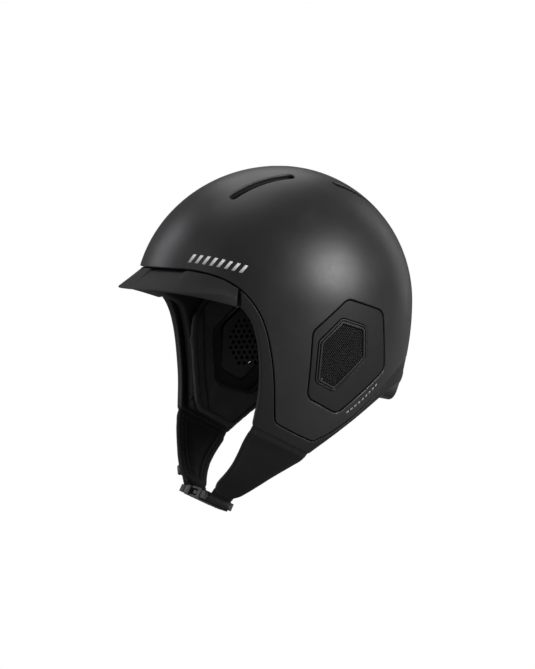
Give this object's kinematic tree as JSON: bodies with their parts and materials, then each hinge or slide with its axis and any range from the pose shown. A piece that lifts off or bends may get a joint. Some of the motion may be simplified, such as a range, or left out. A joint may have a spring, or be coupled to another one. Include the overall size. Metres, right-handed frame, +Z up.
{
  "type": "water helmet",
  "caption": "Full-cut black water sports helmet with soft peak, ear covers, padded liner, nape fit dial and neoprene chin strap with side-release buckle.",
  "frame": {"origin": "middle of the head cavity, on the mid-plane, at the widest level of the shell", "axes": "-Y towards the face opening, +X towards the wearer's left, +Z up"},
  "size_m": [0.194, 0.2679, 0.2897],
  "materials": {
    "shell_plastic": "satin black moulded shell",
    "edge_plastic": "matte black edge moulding",
    "peak_rubber": "matte soft rubber",
    "moulded_plastic": "fine moulded texture",
    "ear_cloth": "woven black mesh",
    "foam": "closed-cell foam",
    "ear_grille": "perforated plate",
    "pad_fabric": "brushed knit over foam",
    "strap_neoprene": "matte neoprene with knit face",
    "strap_binding": "stitched binding tape",
    "webbing": "woven polyester",
    "buckle_plastic": "satin moulded plastic",
    "steel": "brushed",
    "brass": "machined"
  },
  "bodies": {
    "helmet": {"outer_shell": "shell_plastic", "edge_trim": "edge_plastic", "foam_liner": "foam", "ear_vent_plate_left": "ear_grille", "ear_vent_plate_right": "ear_grille", "cheek_pad_left": "pad_fabric", "cheek_pad_right": "pad_fabric", "brow_pad": "pad_fabric", "crown_pad": "pad_fabric", "rear_pad": "pad_fabric", "temple_pad_left": "pad_fabric", "temple_pad_right": "pad_fabric", "strap_anchor_rivets": "steel", "dial_housing": "moulded_plastic", "gear_case": "moulded_plastic", "gear_cover": "moulded_plastic", "gear_screws": "steel", "nape_pad": "pad_fabric"},
    "peak": {"peak": "peak_rubber", "peak_pegs": "moulded_plastic"},
    "ear_left": {"ear_cover_left": "shell_plastic", "ear_frame_left": "moulded_plastic", "ear_mesh_left": "ear_cloth", "ear_pegs_left": "moulded_plastic"},
    "ear_right": {"ear_cover_right": "shell_plastic", "ear_frame_right": "moulded_plastic", "ear_mesh_right": "ear_cloth", "ear_pegs_right": "moulded_plastic"},
    "strap_left": {"strap_outer_left": "strap_neoprene", "strap_webbing_left": "webbing", "strap_lining_left": "strap_neoprene", "strap_welt_left": "strap_binding", "buckle_socket": "buckle_plastic"},
    "strap_right": {"strap_outer_right": "strap_neoprene", "strap_webbing_right": "webbing", "strap_lining_right": "strap_neoprene", "strap_welt_right": "strap_binding", "buckle_plug": "buckle_plastic", "webbing_tail": "webbing"},
    "prong_front": {"buckle_prong_front": "buckle_plastic"},
    "prong_rear": {"buckle_prong_rear": "buckle_plastic"},
    "slider": {"strap_slider": "buckle_plastic"},
    "fit_dial": {"dial_knob": "moulded_plastic", "dial_shaft": "steel", "dial_pinion": "brass", "dial_screw": "steel"},
    "band_left": {"fit_band_left": "moulded_plastic"},
    "band_right": {"fit_band_right": "moulded_plastic"}
  },
  "joints": [
    {"name": "peak_release", "type": "slide", "parent": "helmet", "child": "peak", "axis": [0, -1, 0], "range_m": [0, 0.025]},
    {"name": "ear_left_release", "type": "slide", "parent": "helmet", "child": "ear_left", "axis": [1, 0, 0], "range_m": [0, 0.02]},
    {"name": "ear_right_release", "type": "slide", "parent": "helmet", "child": "ear_right", "axis": [-1, 0, 0], "range_m": [0, 0.02]},
    {"name": "strap_left_swing", "type": "hinge", "parent": "helmet", "child": "strap_left", "pos_m": [0.0748, -0.03564, -0.11153], "axis": [0, -0.8944, 0.4472], "range_deg": [0, 75]},
    {"name": "strap_right_swing", "type": "hinge", "parent": "helmet", "child": "strap_right", "pos_m": [-0.0748, -0.03564, -0.11153], "axis": [0, 0.8944, -0.4472], "range_deg": [0, 75]},
    {"name": "prong_front_press", "type": "hinge", "parent": "strap_right", "child": "prong_front", "pos_m": [-0.0046, -0.07209, -0.16006], "axis": [0, 0.4472, 0.8944], "range_deg": [0, 8]},
    {"name": "prong_rear_press", "type": "hinge", "parent": "strap_right", "child": "prong_rear", "pos_m": [-0.0046, -0.05706, -0.16757], "axis": [0, -0.4472, -0.8944], "range_deg": [0, 8]},
    {"name": "slider_adjust", "type": "slide", "parent": "strap_right", "child": "slider", "axis": [0.7652, -0.2879, -0.5758], "range_m": [-0.006, 0.006]},
    {"name": "fit_dial_turn", "type": "hinge", "parent": "helmet", "child": "fit_dial", "pos_m": [0, 0.10268, -0.06216], "axis": [0, 0.9397, -0.342], "range_deg": [-140, 140]},
    {"name": "band_left_feed", "type": "hinge", "parent": "helmet", "child": "band_left", "pos_m": [0, 0.0275, -0.0348], "axis": [0, 0.342, 0.9397], "range_deg": [-8.4, 8.4]},
    {"name": "band_right_feed", "type": "hinge", "parent": "helmet", "child": "band_right", "pos_m": [0, 0.0275, -0.0348], "axis": [0, 0.342, 0.9397], "range_deg": [-8.4, 8.4]}
  ],
  "couplings": [
    {"joint": "strap_right_swing", "follows": "strap_left_swing", "ratio": 1},
    {"joint": "band_left_feed", "follows": "fit_dial_turn", "ratio": -0.058824},
    {"joint": "band_right_feed", "follows": "fit_dial_turn", "ratio": 0.058824}
  ]
}
